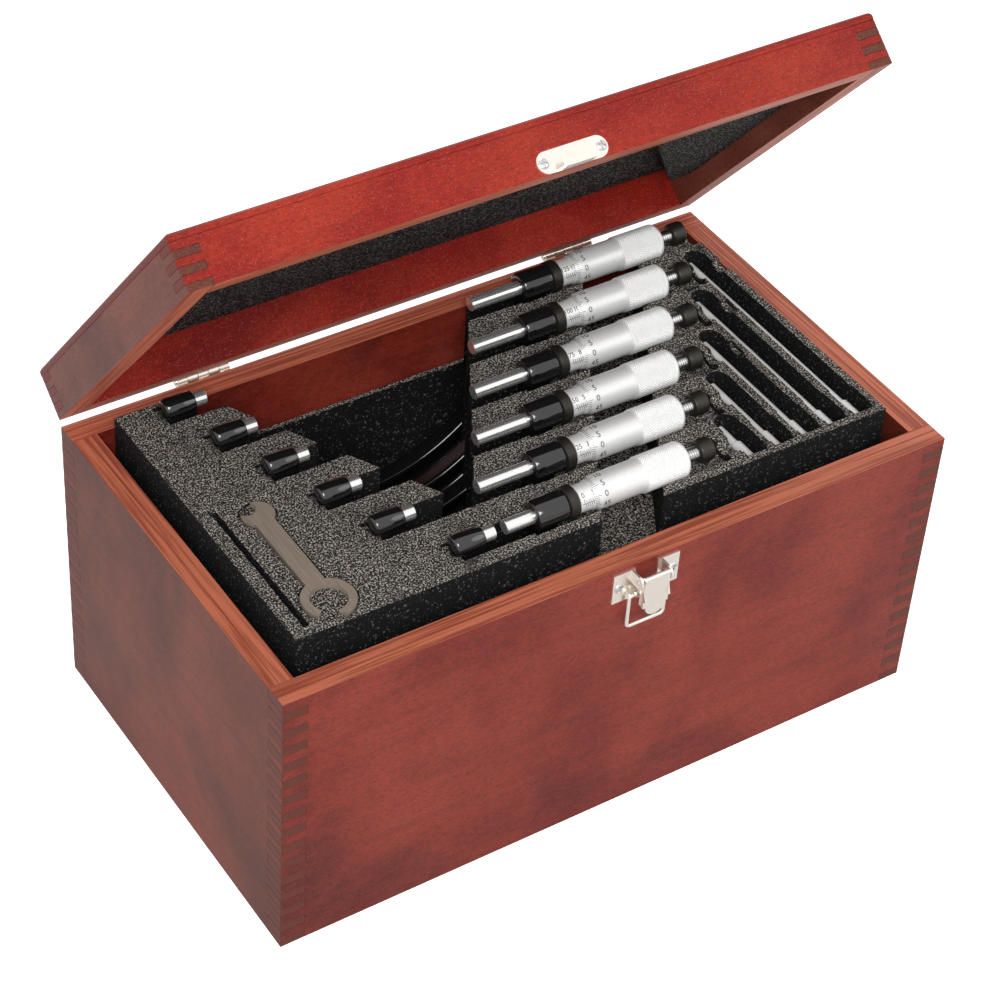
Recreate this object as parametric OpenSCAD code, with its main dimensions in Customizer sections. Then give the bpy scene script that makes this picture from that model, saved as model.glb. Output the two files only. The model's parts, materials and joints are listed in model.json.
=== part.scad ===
/* [Case] */
// Outside width of the case, along X
case_w = 320; // [318:1:340]
// Outside depth of the case, along Y
case_d = 185; // [184:1:200]
// Height of the case body without its lid
case_h = 139; // [130:1:160]
// Thickness of the wooden walls
wall = 11; // [10:0.5:11.5]
// Thickness of the bottom panel
bottom_t = 6; // [4:0.5:8]
// How far the bottom panel is let into each wall
bottom_rebate = 5; // [3:0.5:6]
// Number of fingers that each end wall shows on the front
case_fingers = 15; // [8:1:18]

/* [Lid] */
// Height of the lid over the joint with the case
lid_h = 23; // [22.5:0.5:30]
// Thickness of the lid's top panel
lid_panel_t = 3.5; // [2.5:0.5:4]
// Radius of the round-over along the lid's top edges
lid_round = 2; // [1:0.5:2.5]
// Number of fingers that each lid end rail shows on the front
lid_fingers = 3; // [2:1:4]
// Gap between the lid and the rim when the lid is shut
lid_gap = 0.2; // [0.1:0.1:0.5]
// How far the lid stands open, in degrees
lid_open = 51; // [0:1:100]

/* [Hinges and latch] */
// Distance of each hinge's middle from the middle of the case
hinge_x = 93; // [60:1:120]
// Width of each hinge
hinge_w = 25; // [20:1:35]
// Distance of the hinge pin behind the back wall
pin_out = 3; // [2.9:0.1:4]
// Height of each hinge leaf
leaf_h = 14; // [12:1:18]
// Place of the latch along the front
latch_x = 6; // [-20:1:20]
// Width of the latch's base and of the keeper plate
latch_w = 32; // [30:1:40]
// Diameter of the bail's wire
bail_wire = 1.8; // [1.4:0.1:2]
// Length of the latch's lever below its pivot
lever_len = 17.5; // [15:0.5:19]

/* [Foam] */
// Height of the foam over the rim
foam_rise = 6; // [4:0.5:7]
// Gap between the foam and the left wall
foam_gap_left = 7.5; // [1:0.5:9]
// Gap between the foam and the right wall
foam_gap_right = 4; // [1:0.5:5]
// Gap between the foam and the front wall
foam_gap_front = 11.5; // [1:0.5:13]
// Gap between the foam and the back wall
foam_gap_back = 1; // [0.5:0.1:1.2]
// Height of the foam's foot, which fills the case from wall to wall
foam_foot = 18; // [10:1:25]
// Width of the slot that each micrometer's frame drops into
frame_slot_w = 12.4; // [11:0.2:13]
// Level of the floor of the deep well over the bottom panel
well_floor = 24; // [20:1:30]
// How far below the rim the foam behind the well ends
back_drop = 28; // [15:1:40]
// Depth of the cross trough under the thimbles, below the rim
trough_drop = 22; // [12:1:40]
// Width of the cross trough, along X
trough_w = 30; // [20:1:32]
// Thickness of the foam sheet in the lid
lid_foam_t = 2; // [1:0.5:2]

/* [Micrometers] */
// Height of the micrometers' axes over the rim
axis_rise = 9; // [8.8:0.1:9.2]
// Spacing of the micrometers, along Y
mic_pitch = 25.8; // [25:0.1:26]
// How much further left each micrometer's head lies than the one behind it
head_step = 15.5; // [15:0.1:16]
// Step of the micrometers' ranges and of the standards' lengths
size_step = 25; // [24:0.5:25.5]
// How far each micrometer stands open beyond its smallest reading
mic_opening = 5; // [5:0.1:8]
// Diameter of the spindles and anvils
spindle_d = 6.35; // [6:0.05:6.5]
// Diameter of the knurled part of the thimbles
thimble_d = 15.8; // [15:0.1:16]
// Diameter of the sleeves
sleeve_d = 12; // [11.4:0.1:12.4]
// Diameter of the ratchet knobs
ratchet_d = 10.4; // [8:0.1:11]
// Thickness of the micrometers' frames
frame_t = 8; // [6:0.5:9]

/* [Standards and wrench] */
// Number of end standards, each one step longer than the last
standards = 5; // [5:1:5]
// Diameter of the standards
standard_d = 4; // [3:0.2:4.4]
// Diameter of the thicker front end of each standard
collar_d = 5.8; // [5:0.2:6]
// Length of the thicker front end
collar_len = 13; // [8:1:16]
// Spacing of the standards, along X
standard_pitch = 14; // [13.5:0.1:14]
// Width of the slot round each standard
standard_slot_w = 10; // [8:0.5:10.5]
// Length of the wrench between the middles of its two ends
wrench_len = 56; // [45:1:58]
// Thickness of the wrench
wrench_t = 2.2; // [1.5:0.1:3]

/* [Hidden] */
$fn = 48;
eps = 0.01;

in_x = case_w / 2 - wall;
in_y = case_d / 2 - wall;
pin_y = case_d / 2 + pin_out;
pin_z = case_h + lid_gap / 2;
lid_z = case_h + lid_gap;
lid_rail_h = lid_h - lid_panel_t;
lid_ceiling = lid_z + lid_rail_h;

foam_top = case_h + foam_rise;
foam_left = -in_x + foam_gap_left;
foam_right = in_x - foam_gap_right;
foam_front = -in_y + foam_gap_front;
foam_back = in_y - foam_gap_back;
foam_fit = 0.5;

// Lengths along a micrometer, counted from its lock ring
hub_len = 15;
hub_d = 13.2;
reach = 40;
reach_small = 28;
ring_len = 5;
ring_d = 14.4;
face_gap = 0.3;
spigot_d = 10;
spigot_len = 12;
sleeve_end = 49.5;
thimble_start = 12;
thimble_plain = 24.5;
thimble_end = 59;
thimble_wall = 4;
plain_d = thimble_d - 1;
bevel_len = 3;
bevel_d = sleeve_d + 0.6;
thread_start = 18;
thread_d = 7.8;
tail_d = 5;
knob_start = 66;
ratchet_end = 73.5;
neck_d = 6.4;
stub_d = 3.2;
travel = size_step - mic_opening;
running = 0.05;
seat_gap = 0.4;

// The anvil end of a frame
boss_d = 9.2;
boss_len = 14;
anvil_out = 5.5;
anvil_len = 11;

// The bow of a frame, which hangs lower where its throat is small
bow_gap = 0.5;
hub_overlap = 2;
deep_throat = 30;
drop_share = 0.8;
web_t = 1.4;
bow_rim = 2.6;
web_low = 8;

head_gap = 9.5;
wall_gap = 9.5;
axis_z = case_h + axis_rise;
groove_room = 0.6;
boss_room = 1.5;
groove_d = thimble_d + groove_room;
knob_groove_d = ratchet_d + groove_room;
slope = head_step / mic_pitch;

// Places of one micrometer, numbered 1 for the smallest to 6 for the largest
function ring_x(n) = in_x - head_gap - ratchet_end - (6 - n) * head_step;
function mic_y(n) = in_y - wall_gap - (6 - n) * mic_pitch;
function tip_x(n) = ring_x(n) - (n == 1 ? reach_small : reach);
function face_x(n) = tip_x(n) - mic_opening - (n - 1) * size_step;
function band_w(n) = 9 + n / 2;
function throat_left(n) = face_x(n) - anvil_out - bow_gap;
function throat_right(n) = ring_x(n) - hub_len + hub_overlap;
function throat_r(n) = (throat_right(n) - throat_left(n)) / 2;
function throat_x(n) = (throat_right(n) + throat_left(n)) / 2;
function throat_drop(n) = max(0, deep_throat - throat_r(n)) * drop_share;
function bow_r(n) = throat_r(n) + band_w(n);
function boss_left(n) = face_x(n) - anvil_out - boss_len;

// The diagonal faces of the foam, as an x for each y
block_gap = 0.8;
finger_out = 3;
finger_spread = 19;
trough_gap = 19;
function block_x(y) = tip_x(6) - block_gap + slope * (y - mic_y(6));
function finger_x(y) = face_x(6) + finger_out
  - (y - mic_y(6)) * (face_x(2) - face_x(6) + finger_spread) / (mic_y(6) - mic_y(2));
function trough_x(y) = ring_x(6) + trough_gap + slope * (y - mic_y(6));

// The thick part of the lid's foam keeps clear of the foam below it, of the knobs and of the back
lid_block_gap = 3;
knob_room = 3;
lid_block_back = 10;

// Places of the standards
standard_in_y = 5;
standard_in_x = 13;
standard_drop = 0.5;
standard_room = 1.2;
pocket_start = 2;
pocket_len = 14;
pocket_drop = 6;
pocket_extra = 1.4;
standard_front = foam_front + standard_in_y;
standard_z = axis_z - thimble_d / 2 - standard_drop - standard_d / 2;
function standard_x(n) = in_x - standard_in_x - (5 - n) * standard_pitch;
function standard_len(n) = n * size_step;

// The latch, measured down from the rim and out from the front wall
plate_t = 1;
wing_w = 10.5;
wing_top = 2;
wing_low = 17;
ear_x = 6.6;
ear_t = 1;
ear_r = 3;
lever_pivot_down = 5;
lever_pivot_out = 5.8;
bail_pivot_down = 14;
bail_pivot_out = 3;
lever_w = 12.4;
lever_up = 2.5;
lever_t = 1.1;
lever_out = 1.8;
strap_r = 1.5;
latch_pin_d = 2;
latch_screw_x = 13.2;
latch_screw_down = 9.5;
keeper_h = 9;
keeper_up = 0.2;
keeper_screw_up = 4.7;
hook_w = 14;
hook_lip = 3.4;
bail_half = 9;
hook_out = 2 * (bail_pivot_out - plate_t) + plate_t;
bail_reach = bail_pivot_down + lid_gap + keeper_up + plate_t + bail_wire / 2 + 0.2;

// Screws
screw_head_d = 4.4;
screw_head_t = 0.8;
screw_d = 2.4;
screw_len = 8;
screw_hole_d = screw_d + 0.1;

// Knuckles of a hinge
knuckle_d = 4.8;
hinge_pin_d = 2.2;
knuckle_gap = 0.3;
leaf_screw_x = 7.5;
leaf_screw_up = 9;

front_y = -case_d / 2;
back_y = case_d / 2;

// The wrench lies near the foam's left front corner
wrench_in_x = 22.5;
wrench_in_y = 14;
wrench_sunk = 1.6;
wrench_clear = 0.8;
wrench_bed = 0.3;
wrench_x = foam_left + wrench_in_x;
wrench_y = foam_front + wrench_in_y;
slit_in_x = 7.5;
slit_in_y = 5;
slit_w = 2.4;
slit_len = 74;
slit_depth = 10;

wood = [0.55, 0.16, 0.10];
wood_light = [0.75, 0.30, 0.18];
foam_grey = [0.30, 0.30, 0.30];
nickel = [0.82, 0.80, 0.76];
enamel = [0.06, 0.06, 0.06];
satin = [0.85, 0.85, 0.86];
steel = [0.75, 0.75, 0.77];
black_steel = [0.12, 0.12, 0.12];

// A box from its low corner to its high corner
module block(low, high) {
  translate(low) cube(high - low);
}

// A cylinder along X, from x0 to x1
module bar_x(x0, x1, d) {
  translate([x0, 0, 0]) rotate([0, 90, 0]) cylinder(d = d, h = x1 - x0);
}

// A cylinder along Y, from y0 to y1
module bar_y(y0, y1, d) {
  translate([0, y1, 0]) rotate([90, 0, 0]) cylinder(d = d, h = y1 - y0);
}

// What belongs to the lid is drawn shut and then swung open about the hinge pins
module swung_open() {
  translate([0, pin_y, pin_z]) rotate([-lid_open, 0, 0]) translate([0, -pin_y, -pin_z]) children();
}

// Spaces that the end walls' fingers take out of a front or back wall
module finger_spaces(count, z0, height, x0, x1, y0, y1) {
  cell = height / (2 * count);
  for (i = [0 : count - 1])
    block([x0, y0, z0 + 2 * i * cell], [x1, y1, z0 + (2 * i + 1) * cell]);
}

// Space that the bottom panel takes out of the walls
module bottom_space() {
  block([-in_x - bottom_rebate, -in_y - bottom_rebate, 0],
    [in_x + bottom_rebate, in_y + bottom_rebate, bottom_t]);
}

// A long wall, front or back, with both corners' finger spaces cut away
module long_wall(count, z0, height, y0) {
  difference() {
    block([-case_w / 2, y0, z0], [case_w / 2, y0 + wall, z0 + height]);
    for (side = [-1, 1])
      finger_spaces(count, z0, height,
        side < 0 ? -case_w / 2 - eps : in_x, side < 0 ? -in_x : case_w / 2 + eps, y0 - eps, y0 + wall + eps);
  }
}

// An end wall, whose fingers fill the spaces in the long walls
module end_wall(count, z0, height, x0) {
  block([x0, -in_y, z0], [x0 + wall, in_y, z0 + height]);
  finger_spaces(count, z0, height, x0, x0 + wall, -case_d / 2, -in_y);
  finger_spaces(count, z0, height, x0, x0 + wall, in_y, case_d / 2);
}

// Holes for two screws at the front, and for the hinge screws at the back
module front_screw_holes(z) {
  for (side = [-1, 1])
    translate([latch_x + side * latch_screw_x, 0, z])
      bar_y(front_y - 5, front_y + screw_len + 0.3, screw_hole_d);
}

module back_screw_holes(z) {
  for (side = [-1, 1], s = [-1, 1])
    translate([side * hinge_x + s * leaf_screw_x, 0, z])
      bar_y(back_y - screw_len - 0.3, back_y + 5, screw_hole_d);
}

module front_panel() {
  color(wood) difference() {
    long_wall(case_fingers, 0, case_h, front_y);
    bottom_space();
    front_screw_holes(case_h - latch_screw_down);
  }
}

module back_panel() {
  color(wood) difference() {
    long_wall(case_fingers, 0, case_h, in_y);
    bottom_space();
    back_screw_holes(case_h - leaf_screw_up);
  }
}

module end_panels() {
  color(wood) difference() {
    for (x0 = [-case_w / 2, in_x]) end_wall(case_fingers, 0, case_h, x0);
    bottom_space();
  }
}

module bottom_panel() {
  color(wood_light) bottom_space();
}

module lid_front_rail() {
  color(wood) swung_open() difference() {
    long_wall(lid_fingers, lid_z, lid_rail_h, front_y);
    front_screw_holes(lid_z + keeper_screw_up);
  }
}

module lid_back_rail() {
  color(wood) swung_open() difference() {
    long_wall(lid_fingers, lid_z, lid_rail_h, in_y);
    back_screw_holes(lid_z + leaf_screw_up);
  }
}

module lid_end_rails() {
  color(wood) swung_open()
    for (x0 = [-case_w / 2, in_x]) end_wall(lid_fingers, lid_z, lid_rail_h, x0);
}

// The top panel covers the rails, and its upper edges are rounded over
module lid_top_panel() {
  steps = 6;
  color(wood) swung_open() hull() {
    block([-case_w / 2, -case_d / 2, lid_ceiling],
      [case_w / 2, case_d / 2, lid_ceiling + lid_panel_t - lid_round]);
    for (i = [1 : steps]) {
      inset = lid_round * (1 - cos(90 * i / steps));
      level = lid_ceiling + lid_panel_t - lid_round + lid_round * sin(90 * i / steps);
      block([-case_w / 2 + inset, -case_d / 2 + inset, level - eps],
        [case_w / 2 - inset, case_d / 2 - inset, level]);
    }
  }
}

// The wrench's flat outline, grown by g all round
module wrench_outline(g) {
  small_r = 7;
  big_r = 11.2;
  big_hole_r = 7.6;
  handle_w = 8.5;
  jaw_turn = -52;
  jaw_w = 11.5;
  notch_out = 3.2;
  notch_up = 4.6;
  notch_r = 4.2;
  difference() {
    union() {
      circle(r = big_r + g);
      translate([-handle_w / 2 - g, big_r - 3]) square([handle_w + 2 * g, wrench_len - big_r]);
      translate([0, wrench_len]) circle(r = small_r + g);
    }
    if (g == 0) {
      circle(r = big_hole_r);
      rotate(jaw_turn) translate([0, -big_r - 5]) square([big_r + 10, jaw_w]);
      translate([-notch_out, wrench_len + notch_up]) circle(r = notch_r);
    }
  }
}

module wrench() {
  color([0.35, 0.33, 0.31]) translate([wrench_x, wrench_y, foam_top - wrench_sunk]) {
    linear_extrude(wrench_t) wrench_outline(0);
    rotate(-88) translate([9.2, 0, wrench_t]) cylinder(d = 2, h = 0.8);
  }
}

// A slot for one standard, with a round back end and a finger pocket at the front
module standard_space(n) {
  x = standard_x(n);
  r = standard_slot_w / 2;
  y_end = standard_front + standard_len(n) + standard_room - r;
  floor_z = standard_z - collar_d / 2 - foam_fit;
  pocket_r = r + pocket_extra / 2;
  pocket_y = standard_front + pocket_start;
  block([x - r, standard_front - standard_room, floor_z], [x + r, y_end, foam_top + 1]);
  translate([x, y_end, floor_z]) cylinder(r = r, h = foam_top + 1 - floor_z);
  block([x - pocket_r, pocket_y, floor_z - pocket_drop], [x + pocket_r, pocket_y + pocket_len, foam_top + 1]);
}

// The slot and the grooves that hold one micrometer; the slot's floor follows the bow of the frame
module mic_space(n) {
  x = ring_x(n);
  y = mic_y(n);
  r = bow_r(n) + seat_gap;
  bow_z = axis_z - throat_drop(n);
  boss_low = axis_z - boss_d / 2 - seat_gap;
  y0 = y - frame_slot_w / 2;
  y1 = y + frame_slot_w / 2;
  translate([throat_x(n), 0, bow_z]) bar_y(y0, y1, 2 * r);
  block([throat_x(n) - r, y0, bow_z], [throat_x(n) + r, y1, foam_top + 1]);
  block([boss_left(n) - boss_room, y0, boss_low], [x + 1, y1, foam_top + 1]);
  translate([0, y, axis_z]) {
    bar_x(x - hub_len - hub_overlap, x + thimble_end + travel + groove_room, groove_d);
    bar_x(x - 1, x + ratchet_end + travel + boss_room, knob_groove_d);
  }
}

// The well between the anvils and the heads, seen from above
module well_plan() {
  y_back = in_y + 1;
  y_low = mic_y(2) - frame_slot_w / 2;
  polygon([
    [finger_x(y_back), y_back], [block_x(y_back), y_back],
    [block_x(y_low), y_low], [finger_x(y_low), y_low]
  ]);
}

module case_foam() {
  far = in_y + wall;
  color(foam_grey) difference() {
    union() {
      block([foam_left, foam_front, bottom_t], [foam_right, foam_back, foam_top]);
      block([-in_x + foam_fit, -in_y + foam_fit, bottom_t],
        [in_x - foam_fit, in_y - foam_fit, bottom_t + foam_foot]);
    }
    for (n = [1 : 6]) mic_space(n);
    for (n = [1 : standards]) standard_space(n);
    translate([0, 0, bottom_t + well_floor]) linear_extrude(case_h)
      intersection() {
        well_plan();
        translate([-in_x, -in_y]) square([2 * in_x, in_y + mic_y(6) + frame_slot_w / 2]);
      }
    translate([0, 0, case_h - back_drop]) linear_extrude(case_h) well_plan();
    translate([0, 0, case_h - trough_drop]) linear_extrude(case_h)
      polygon([
        [trough_x(-far), -far], [trough_x(-far) + trough_w, -far],
        [trough_x(far) + trough_w, far], [trough_x(far), far]
      ]);
    translate([wrench_x, wrench_y, foam_top - wrench_sunk - wrench_bed]) linear_extrude(wrench_sunk + 1)
      wrench_outline(wrench_clear);
    translate([foam_left + slit_in_x - slit_w / 2, foam_front + slit_in_y, foam_top - slit_depth])
      cube([slit_w, slit_len, slit_depth + 1]);
  }
}

// A thin sheet under the lid's panel, and a thick block stuck to it that keeps the standards down
module lid_foam() {
  x_edge = in_x - foam_fit;
  y_edge = in_y - foam_fit;
  y_block = mic_y(6) - lid_block_back;
  block_t = lid_ceiling - foam_top - lid_block_gap;
  function edge_x(y) = min(x_edge - 1, ring_x(6) + ratchet_end + knob_room + slope * (y - mic_y(6)));
  color(foam_grey) swung_open() {
    block([-x_edge, -y_edge, lid_ceiling - lid_foam_t], [x_edge, y_edge, lid_ceiling]);
    translate([0, 0, lid_ceiling - block_t]) linear_extrude(block_t - lid_foam_t - running)
      polygon([[edge_x(-y_edge), -y_edge], [x_edge, -y_edge], [x_edge, y_block], [edge_x(y_block), y_block]]);
  }
}

// One leaf with its knuckles; up is 1 for the lid's leaf and -1 for the case's
module hinge_leaf(up) {
  cell = hinge_w / 5;
  odd = up > 0 ? 1 : 0;
  knuckles = up > 0 ? 2 : 3;
  edge = knuckle_d / 2 + 0.6;
  z_wood = pin_z + up * lid_gap / 2;
  difference() {
    union() {
      block([-hinge_w / 2, back_y, up > 0 ? z_wood + edge : z_wood - leaf_h],
        [hinge_w / 2, back_y + plate_t, up > 0 ? z_wood + leaf_h : z_wood - edge]);
      for (i = [0 : knuckles - 1]) {
        x0 = -hinge_w / 2 + (2 * i + odd) * cell + knuckle_gap / 2;
        x1 = x0 + cell - knuckle_gap;
        translate([0, pin_y, pin_z]) bar_x(x0, x1, knuckle_d);
        block([x0, back_y, up > 0 ? z_wood : z_wood - edge - eps],
          [x1, back_y + plate_t, up > 0 ? z_wood + edge + eps : z_wood]);
      }
    }
    translate([0, pin_y, pin_z]) bar_x(-hinge_w, hinge_w, hinge_pin_d + 2 * running);
    for (s = [-1, 1])
      translate([s * leaf_screw_x, 0, z_wood + up * leaf_screw_up])
        bar_y(back_y - 1, back_y + plate_t + 1, screw_hole_d);
  }
}

// The case's leaves, with the pins that both leaves turn on
module hinge_case_leaves() {
  color(nickel) for (side = [-1, 1]) translate([side * hinge_x, 0, 0]) {
    hinge_leaf(-1);
    translate([0, pin_y, pin_z]) bar_x(-hinge_w / 2 - 0.3, hinge_w / 2 + 0.3, hinge_pin_d);
  }
}

module hinge_lid_leaves() {
  color(nickel) swung_open() for (side = [-1, 1]) translate([side * hinge_x, 0, 0]) hinge_leaf(1);
}

// A screw whose head stands on a plate; dir is the way that the head faces along Y
module wood_screw(x, face_y, z, dir) {
  translate([x, 0, z]) {
    bar_y(dir < 0 ? face_y - plate_t - screw_head_t : face_y + plate_t,
      dir < 0 ? face_y - plate_t : face_y + plate_t + screw_head_t, screw_head_d);
    bar_y(dir < 0 ? face_y - plate_t - eps : face_y - screw_len,
      dir < 0 ? face_y + screw_len : face_y + plate_t + eps, screw_d);
  }
}

module hinge_screws(z) {
  for (side = [-1, 1], s = [-1, 1]) wood_screw(side * hinge_x + s * leaf_screw_x, back_y, z, 1);
}

module case_screws() {
  color(steel) {
    hinge_screws(case_h - leaf_screw_up);
    for (side = [-1, 1]) wood_screw(latch_x + side * latch_screw_x, front_y, case_h - latch_screw_down, -1);
  }
}

module lid_screws() {
  color(steel) swung_open() {
    hinge_screws(lid_z + leaf_screw_up);
    for (side = [-1, 1]) wood_screw(latch_x + side * latch_screw_x, front_y, lid_z + keeper_screw_up, -1);
  }
}

// The base has two screwed wings, a lower web and two ears for the lever's pin
module latch_base() {
  y0 = front_y - plate_t;
  pivot_y = front_y - lever_pivot_out;
  pivot_z = case_h - lever_pivot_down;
  color(nickel) difference() {
    translate([latch_x, 0, 0]) {
      for (side = [-1, 1])
        block([side < 0 ? -latch_w / 2 : latch_w / 2 - wing_w, y0, case_h - wing_low],
          [side < 0 ? -latch_w / 2 + wing_w : latch_w / 2, front_y, case_h - wing_top]);
      block([-latch_w / 2 + wing_w - eps, y0, case_h - wing_low],
        [latch_w / 2 - wing_w + eps, front_y, case_h - latch_screw_down - 1]);
      for (side = [-1, 1]) {
        x0 = side < 0 ? -ear_x - ear_t : ear_x;
        block([x0, pivot_y, pivot_z - ear_r], [x0 + ear_t, front_y - eps, pivot_z + ear_r]);
        translate([0, pivot_y, pivot_z]) bar_x(x0, x0 + ear_t, 2 * ear_r);
      }
      translate([0, pivot_y, pivot_z]) bar_x(-ear_x - ear_t - 0.2, ear_x + ear_t + 0.2, latch_pin_d);
    }
    front_screw_holes(case_h - latch_screw_down);
  }
}

// One flange of the lever: a strap from the lever's pivot to the bail's, and a tab up to the lever's plate
module lever_flange(x0) {
  down = bail_pivot_down - lever_pivot_down;
  out = lever_pivot_out - bail_pivot_out;
  strap_len = sqrt(down * down + out * out);
  translate([x0, 0, 0]) {
    bar_x(0, lever_t, 2 * strap_r + 0.6);
    translate([0, out, -down]) bar_x(0, lever_t, 2 * strap_r);
    rotate([90 - atan2(out, down), 0, 0]) rotate([-90, 0, 0])
      translate([0, -strap_r, -strap_len]) cube([lever_t, 2 * strap_r, strap_len]);
    block([0, -lever_out - eps, -down - 3], [lever_t, 0, 1]);
  }
}

// The lever hangs on the base's pin by two flanges, and its plate has a rolled top and a round end
module latch_lever() {
  down = bail_pivot_down - lever_pivot_down;
  out = lever_pivot_out - bail_pivot_out;
  end_r = 4.8;
  color(nickel) translate([latch_x, front_y - lever_pivot_out, case_h - lever_pivot_down]) difference() {
    union() {
      for (x0 = [-lever_w / 2, lever_w / 2 - lever_t]) lever_flange(x0);
      block([-lever_w / 2, -lever_out - lever_t, end_r - lever_len], [lever_w / 2, -lever_out, lever_up]);
      translate([0, -lever_out - lever_t / 2, lever_up]) bar_x(-lever_w / 2, lever_w / 2, 2 * lever_t);
      translate([0, -lever_out, end_r - lever_len]) rotate([90, 0, 0]) cylinder(r = end_r, h = lever_t);
    }
    bar_x(-latch_w, latch_w, latch_pin_d + 2 * running);
    translate([0, out, -down]) bar_x(-latch_w, latch_w, bail_wire + 2 * running);
  }
}

// The bail hangs from the lever as a square loop of wire, and reaches the keeper's hook when it is swung up
module latch_bail() {
  stub = lever_w / 2 - lever_t - 0.6;
  color(nickel) translate([latch_x, front_y - bail_pivot_out, case_h - bail_pivot_down]) {
    for (side = [-1, 1]) {
      translate([side * bail_half, 0, -bail_reach]) {
        cylinder(d = bail_wire, h = bail_reach);
        sphere(d = bail_wire);
      }
      translate([side * bail_half, 0, 0]) sphere(d = bail_wire);
      bar_x(side < 0 ? -bail_half : stub, side < 0 ? -stub : bail_half, bail_wire);
    }
    translate([0, 0, -bail_reach]) bar_x(-bail_half, bail_half, bail_wire);
  }
}

// The keeper's plate has round ends and a hook that the bail pulls down on
module latch_keeper() {
  y0 = front_y - plate_t;
  r = keeper_h / 2;
  color(nickel) swung_open() difference() {
    translate([latch_x, 0, lid_z + keeper_up]) {
      block([-latch_w / 2 + r, y0, 0], [latch_w / 2 - r, front_y, keeper_h]);
      for (side = [-1, 1]) translate([side * (latch_w / 2 - r), 0, r]) bar_y(y0, front_y, keeper_h);
      block([-hook_w / 2, y0 - hook_out, 0], [hook_w / 2, y0 + eps, plate_t]);
      block([-hook_w / 2, y0 - hook_out, 0], [hook_w / 2, y0 - hook_out + plate_t, hook_lip]);
    }
    front_screw_holes(lid_z + keeper_screw_up);
  }
}

// One end standard: a ground rod with a thicker front end
module standard(n) {
  y0 = standard_front;
  color(steel) translate([standard_x(n), 0, standard_z]) {
    bar_y(y0, y0 + collar_len, collar_d);
    bar_y(y0, y0 + standard_len(n), standard_d);
  }
}

// The bow of a frame as a flat outline, with its throat open at the top
module bow_outline(n, inner, outer) {
  difference() {
    union() {
      circle(r = outer);
      translate([-outer, 0]) square([2 * outer, throat_drop(n) + eps]);
    }
    circle(r = inner);
    translate([-inner, 0]) square([2 * inner, 2 * outer]);
    translate([-2 * outer, throat_drop(n)]) square([4 * outer, 2 * outer]);
  }
}

// A frame: bow with a thinner web, anvil boss, hub and the spigot inside the sleeve; the anvil is its own solid
module frame(n) {
  x = ring_x(n);
  fx = face_x(n);
  inner = throat_r(n);
  outer = bow_r(n);
  color(enamel) translate([0, mic_y(n), axis_z]) difference() {
    union() {
      translate([throat_x(n), frame_t / 2, -throat_drop(n)]) rotate([90, 0, 0]) linear_extrude(frame_t)
        bow_outline(n, inner, outer);
      bar_x(boss_left(n), fx - anvil_out, boss_d);
      bar_x(x - hub_len, x - face_gap, hub_d);
      bar_x(x - face_gap - eps, x + spigot_len, spigot_d);
    }
    for (side = [-1, 1])
      translate([throat_x(n), side > 0 ? frame_t / 2 + eps : -frame_t / 2 + web_t, -throat_drop(n)])
        rotate([90, 0, 0]) linear_extrude(web_t + eps) intersection() {
          difference() {
            circle(r = outer - bow_rim);
            circle(r = inner + bow_rim);
          }
          translate([-outer, -2 * outer]) square([2 * outer, 2 * outer - web_low]);
        }
    bar_x(x - hub_len - 1, x + spigot_len + 1, spindle_d + 2 * running);
    bar_x(fx - anvil_len, fx, spindle_d + 2 * running);
  }
  color(steel) translate([0, mic_y(n), axis_z]) bar_x(fx - anvil_len, fx, spindle_d);
}

module sleeve(n) {
  x = ring_x(n);
  color(satin) translate([0, mic_y(n), axis_z]) difference() {
    bar_x(x + ring_len + face_gap, x + sleeve_end, sleeve_d);
    bar_x(x, x + sleeve_end + 1, spigot_d + 2 * running);
  }
}

module lock_ring(n) {
  x = ring_x(n);
  color(black_steel) translate([0, mic_y(n), axis_z]) difference() {
    bar_x(x, x + ring_len, ring_d);
    bar_x(x - 1, x + ring_len + 1, spigot_d + 2 * running);
  }
}

// The spindle, its screw inside the sleeve and the tail that carries the thimble
module spindle(n) {
  x = ring_x(n);
  color(steel) translate([0, mic_y(n), axis_z]) difference() {
    union() {
      bar_x(tip_x(n), x + thread_start + eps, spindle_d);
      bar_x(x + thread_start, x + thimble_end - thimble_wall - 0.5, thread_d);
      bar_x(x + thimble_end - thimble_wall - 1, x + thimble_end, tail_d);
    }
    bar_x(x + thimble_end - thimble_wall - 2, x + thimble_end + 1, stub_d + 2 * running);
  }
}

module thimble(n) {
  x = ring_x(n);
  start = x + thimble_start;
  knurl = start + thimble_plain;
  end = x + thimble_end;
  chamfer = 0.8;
  color(satin) translate([0, mic_y(n), axis_z]) difference() {
    translate([start, 0, 0]) rotate([0, 90, 0]) rotate_extrude()
      polygon([
        [0, 0], [bevel_d / 2, 0], [plain_d / 2, bevel_len], [plain_d / 2, thimble_plain],
        [thimble_d / 2, thimble_plain + 0.5], [thimble_d / 2, end - start - chamfer],
        [thimble_d / 2 - chamfer, end - start], [0, end - start]
      ]);
    bar_x(start - 1, end - thimble_wall, sleeve_d + 2 * running);
    bar_x(start, end + 1, tail_d + 2 * running);
  }
}

module ratchet(n) {
  x = ring_x(n);
  start = x + thimble_end + face_gap;
  knob = x + knob_start - start;
  end = x + ratchet_end - start;
  chamfer = 0.8;
  color(black_steel) translate([0, mic_y(n), axis_z]) {
    translate([start, 0, 0]) rotate([0, 90, 0]) rotate_extrude()
      polygon([
        [0, 0], [neck_d / 2, 0], [neck_d / 2, knob],
        [ratchet_d / 2 - chamfer, knob], [ratchet_d / 2, knob + chamfer],
        [ratchet_d / 2, end - chamfer], [ratchet_d / 2 - chamfer, end], [0, end]
      ]);
    bar_x(x + thimble_end - thimble_wall, start + eps, stub_d);
  }
}

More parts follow.
